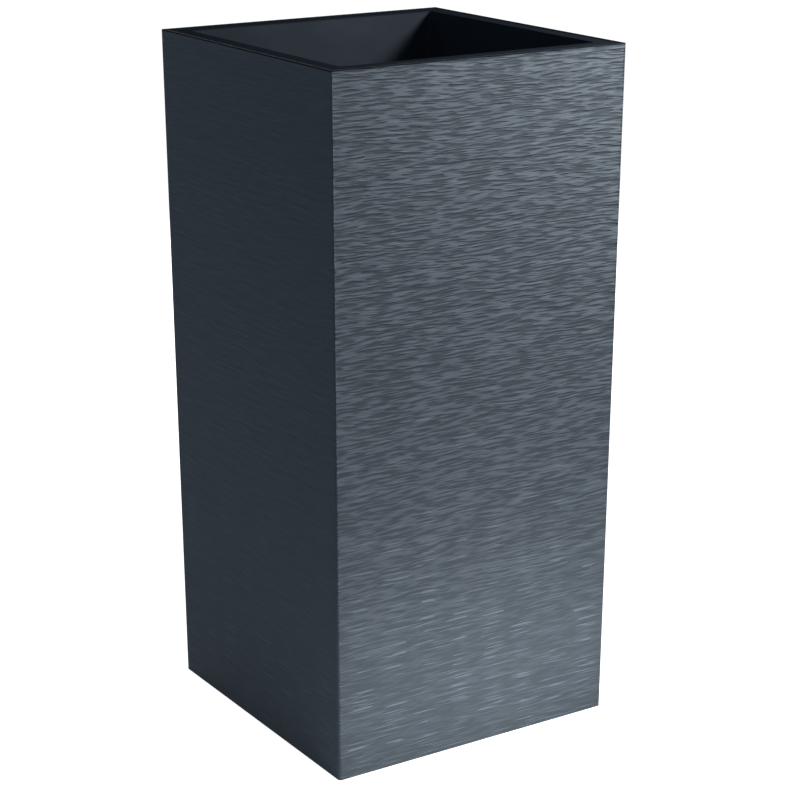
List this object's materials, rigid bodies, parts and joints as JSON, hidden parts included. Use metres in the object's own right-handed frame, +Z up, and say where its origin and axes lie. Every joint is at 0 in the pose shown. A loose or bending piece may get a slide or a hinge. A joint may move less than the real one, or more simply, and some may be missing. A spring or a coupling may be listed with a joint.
{
  "type": "tall planter",
  "caption": "Tall square floor planter with a brushed anthracite case, a lift-out planting tub on a flat rim, fold-down handles and a water reserve with a level float.",
  "frame": {"origin": "centre of the base, on the surface that the planter stands on", "axes": "+Z up; -Y out of the front face; -X out of the left face; the fill tube is in the -X -Y corner"},
  "size_m": [0.38, 0.38, 0.8],
  "materials": {
    "case_plastic": "moulded anthracite with a brushed relief",
    "tub_plastic": "moulded anthracite, fine grain",
    "handle_plastic": "moulded black, fine grain",
    "grid_plastic": "moulded black, fine grain",
    "tube_plastic": "moulded black, smooth",
    "clear_plastic": "clear, polished",
    "float_plastic": "closed-cell white",
    "marker_plastic": "red, glossy",
    "seal_rubber": "matte black"
  },
  "bodies": {
    "case": {"outer_case": "case_plastic"},
    "case_plug": {"case_drain_plug": "tube_plastic", "case_drain_seal": "seal_rubber"},
    "insert": {"planting_insert": "tub_plastic", "handle_pivot_pins": "handle_plastic"},
    "left_handle": {"left_lift_handle": "handle_plastic"},
    "right_handle": {"right_lift_handle": "handle_plastic"},
    "insert_plug": {"insert_drain_plug": "tube_plastic", "insert_drain_seal": "seal_rubber"},
    "grid": {"reservoir_grid": "grid_plastic", "wick_cups": "grid_plastic", "fill_tube": "tube_plastic", "level_indicator_tube": "tube_plastic", "level_indicator_dome": "clear_plastic"},
    "fill_cap": {"fill_tube_cap": "tube_plastic"},
    "float": {"level_float": "float_plastic", "level_indicator_rod": "marker_plastic"}
  },
  "joints": [
    {"name": "case_plug_pull", "type": "slide", "parent": "case", "child": "case_plug", "axis": [0, 0, 1], "range_m": [0, 0.05]},
    {"name": "insert_lift", "type": "slide", "parent": "case", "child": "insert", "axis": [0, 0, 1], "range_m": [0, 0.36]},
    {"name": "left_handle_fold", "type": "hinge", "parent": "insert", "child": "left_handle", "pos_m": [-0.15071, 0, 0.7494], "axis": [0, -1, 0], "range_deg": [0, 175]},
    {"name": "right_handle_fold", "type": "hinge", "parent": "insert", "child": "right_handle", "pos_m": [0.15071, 0, 0.7494], "axis": [0, 1, 0], "range_deg": [0, 175]},
    {"name": "insert_plug_pull", "type": "slide", "parent": "insert", "child": "insert_plug", "axis": [0, 0, 1], "range_m": [0, 0.03]},
    {"name": "grid_lift", "type": "slide", "parent": "insert", "child": "grid", "axis": [0, 0, 1], "range_m": [0, 0.35]},
    {"name": "fill_cap_lift", "type": "slide", "parent": "grid", "child": "fill_cap", "axis": [0, 0, 1], "range_m": [0, 0.05]},
    {"name": "float_rise", "type": "slide", "parent": "grid", "child": "float", "axis": [0, 0, 1], "range_m": [0, 0.025]}
  ]
}
